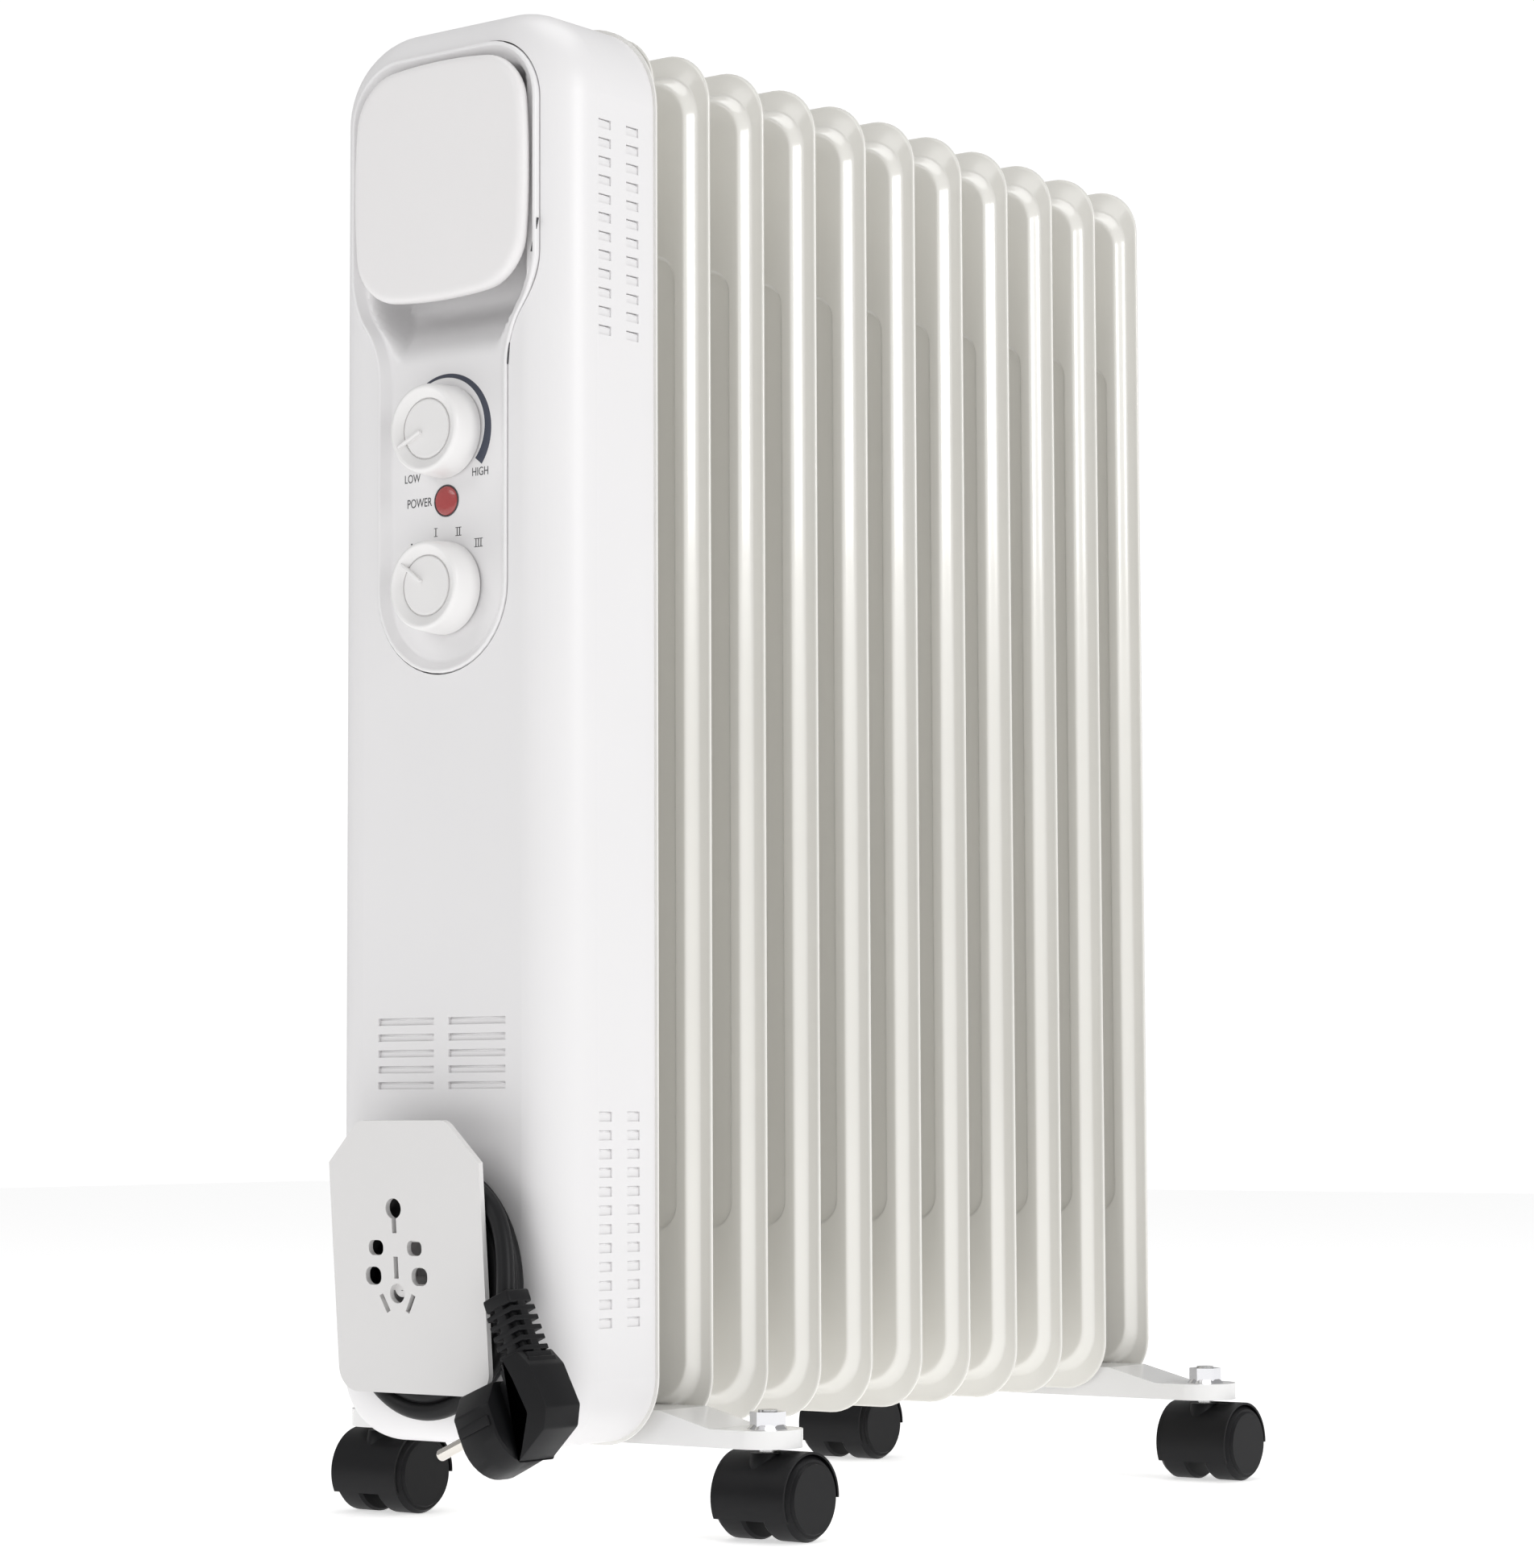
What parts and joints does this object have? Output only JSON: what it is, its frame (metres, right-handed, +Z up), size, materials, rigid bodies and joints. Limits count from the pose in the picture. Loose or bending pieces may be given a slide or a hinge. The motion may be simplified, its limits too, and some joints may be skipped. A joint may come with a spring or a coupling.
{
  "type": "oil filled radiator heater",
  "caption": "Portable oil filled column heater with a control housing, dials, cord storage and swivelling casters.",
  "frame": {"origin": "on the floor, under the middle of the heater's box without its lead", "axes": "+X along the stack of fins away from the controls, +Y across, +Z up"},
  "size_m": [0.4915, 0.2532, 0.6353],
  "materials": {
    "fin_enamel": "warm off-white gloss enamel",
    "cover_plastic": "satin white moulding",
    "plate_enamel": "white gloss enamel",
    "bezel_plastic": "satin white moulding",
    "handle_plastic": "fine satin texture",
    "knob_plastic": "satin white moulding",
    "steel": "bright zinc",
    "inner_plastic": "plain",
    "red_lens": "translucent red",
    "lamp_glass": "clear",
    "wire_sleeve": "plain",
    "wrap_plastic": "satin",
    "cord_rubber": "satin black sheath",
    "plug_rubber": "fine matt grain",
    "pin_metal": "nickel plated",
    "foot_enamel": "white gloss enamel",
    "zinc": "bright zinc",
    "element_steel": "dull steel",
    "chrome_nut": "bright plated",
    "caster_nylon": "fine satin black",
    "wheel_nylon": "fine satin black"
  },
  "bodies": {
    "radiator": {"caster_nuts": "chrome_nut", "caster_stems": "steel", "control_bezel": "bezel_plastic", "control_cover": "cover_plastic", "cord_coil": "cord_rubber", "cord_gland": "cord_rubber", "cord_wrap_plate": "wrap_plastic", "cord_wrap_spool": "wrap_plastic", "cover_screws": "steel", "fin_01": "fin_enamel", "fin_02": "fin_enamel", "fin_03": "fin_enamel", "fin_04": "fin_enamel", "fin_05": "fin_enamel", "fin_06": "fin_enamel", "fin_07": "fin_enamel", "fin_08": "fin_enamel", "fin_09": "fin_enamel", "fin_10": "fin_enamel", "fin_11": "fin_enamel", "foot_front": "foot_enamel", "foot_rear": "foot_enamel", "foot_u_bolts": "zinc", "foot_wing_nuts": "zinc", "handle_plate": "handle_plastic", "handle_posts": "handle_plastic", "heating_element": "element_steel", "hub_collars": "fin_enamel", "hub_end_caps": "fin_enamel", "indicator_lamp": "lamp_glass", "indicator_lens": "red_lens", "mounting_plate": "plate_enamel", "plug_body": "plug_rubber", "plug_pins": "pin_metal", "power_cord": "cord_rubber", "selector_switch": "inner_plastic", "terminal_block": "inner_plastic", "thermal_cutout": "inner_plastic", "thermostat_body": "inner_plastic", "wiring": "wire_sleeve"},
    "thermostat_dial": {"thermostat_knob": "knob_plastic", "thermostat_spindle": "steel"},
    "selector_dial": {"selector_knob": "knob_plastic", "selector_spindle": "steel"},
    "caster_front_right": {"caster_hood_front_right": "caster_nylon", "caster_axle_front_right": "steel"},
    "wheel_front_right_a": {"caster_wheel_front_right_a": "wheel_nylon"},
    "wheel_front_right_b": {"caster_wheel_front_right_b": "wheel_nylon"},
    "caster_front_left": {"caster_hood_front_left": "caster_nylon", "caster_axle_front_left": "steel"},
    "wheel_front_left_a": {"caster_wheel_front_left_a": "wheel_nylon"},
    "wheel_front_left_b": {"caster_wheel_front_left_b": "wheel_nylon"},
    "caster_rear_right": {"caster_hood_rear_right": "caster_nylon", "caster_axle_rear_right": "steel"},
    "wheel_rear_right_a": {"caster_wheel_rear_right_a": "wheel_nylon"},
    "wheel_rear_right_b": {"caster_wheel_rear_right_b": "wheel_nylon"},
    "caster_rear_left": {"caster_hood_rear_left": "caster_nylon", "caster_axle_rear_left": "steel"},
    "wheel_rear_left_a": {"caster_wheel_rear_left_a": "wheel_nylon"},
    "wheel_rear_left_b": {"caster_wheel_rear_left_b": "wheel_nylon"}
  },
  "joints": [
    {"name": "thermostat_turn", "type": "hinge", "parent": "radiator", "child": "thermostat_dial", "pos_m": [-0.2141, 0, 0.4578], "axis": [1, 0, 0], "range_deg": [0, 270]},
    {"name": "selector_turn", "type": "hinge", "parent": "radiator", "child": "selector_dial", "pos_m": [-0.2141, 0, 0.3922], "axis": [1, 0, 0], "range_deg": [0, 105]},
    {"name": "swivel_front_right", "type": "hinge", "parent": "radiator", "child": "caster_front_right", "pos_m": [-0.1321, -0.106, 0.03], "axis": [0, 0, 1], "continuous": true},
    {"name": "roll_front_right_a", "type": "hinge", "parent": "caster_front_right", "child": "wheel_front_right_a", "pos_m": [-0.1276, -0.1186, 0.0175], "axis": [0, 1, 0], "continuous": true},
    {"name": "roll_front_right_b", "type": "hinge", "parent": "caster_front_right", "child": "wheel_front_right_b", "pos_m": [-0.1276, -0.0934, 0.0175], "axis": [0, 1, 0], "continuous": true},
    {"name": "swivel_front_left", "type": "hinge", "parent": "radiator", "child": "caster_front_left", "pos_m": [-0.1321, 0.106, 0.03], "axis": [0, 0, 1], "continuous": true},
    {"name": "roll_front_left_a", "type": "hinge", "parent": "caster_front_left", "child": "wheel_front_left_a", "pos_m": [-0.1276, 0.0934, 0.0175], "axis": [0, 1, 0], "continuous": true},
    {"name": "roll_front_left_b", "type": "hinge", "parent": "caster_front_left", "child": "wheel_front_left_b", "pos_m": [-0.1276, 0.1186, 0.0175], "axis": [0, 1, 0], "continuous": true},
    {"name": "swivel_rear_right", "type": "hinge", "parent": "radiator", "child": "caster_rear_right", "pos_m": [0.2099, -0.106, 0.03], "axis": [0, 0, 1], "continuous": true},
    {"name": "roll_rear_right_a", "type": "hinge", "parent": "caster_rear_right", "child": "wheel_rear_right_a", "pos_m": [0.2144, -0.1186, 0.0175], "axis": [0, 1, 0], "continuous": true},
    {"name": "roll_rear_right_b", "type": "hinge", "parent": "caster_rear_right", "child": "wheel_rear_right_b", "pos_m": [0.2144, -0.0934, 0.0175], "axis": [0, 1, 0], "continuous": true},
    {"name": "swivel_rear_left", "type": "hinge", "parent": "radiator", "child": "caster_rear_left", "pos_m": [0.2099, 0.106, 0.03], "axis": [0, 0, 1], "continuous": true},
    {"name": "roll_rear_left_a", "type": "hinge", "parent": "caster_rear_left", "child": "wheel_rear_left_a", "pos_m": [0.2144, 0.0934, 0.0175], "axis": [0, 1, 0], "continuous": true},
    {"name": "roll_rear_left_b", "type": "hinge", "parent": "caster_rear_left", "child": "wheel_rear_left_b", "pos_m": [0.2144, 0.1186, 0.0175], "axis": [0, 1, 0], "continuous": true}
  ]
}
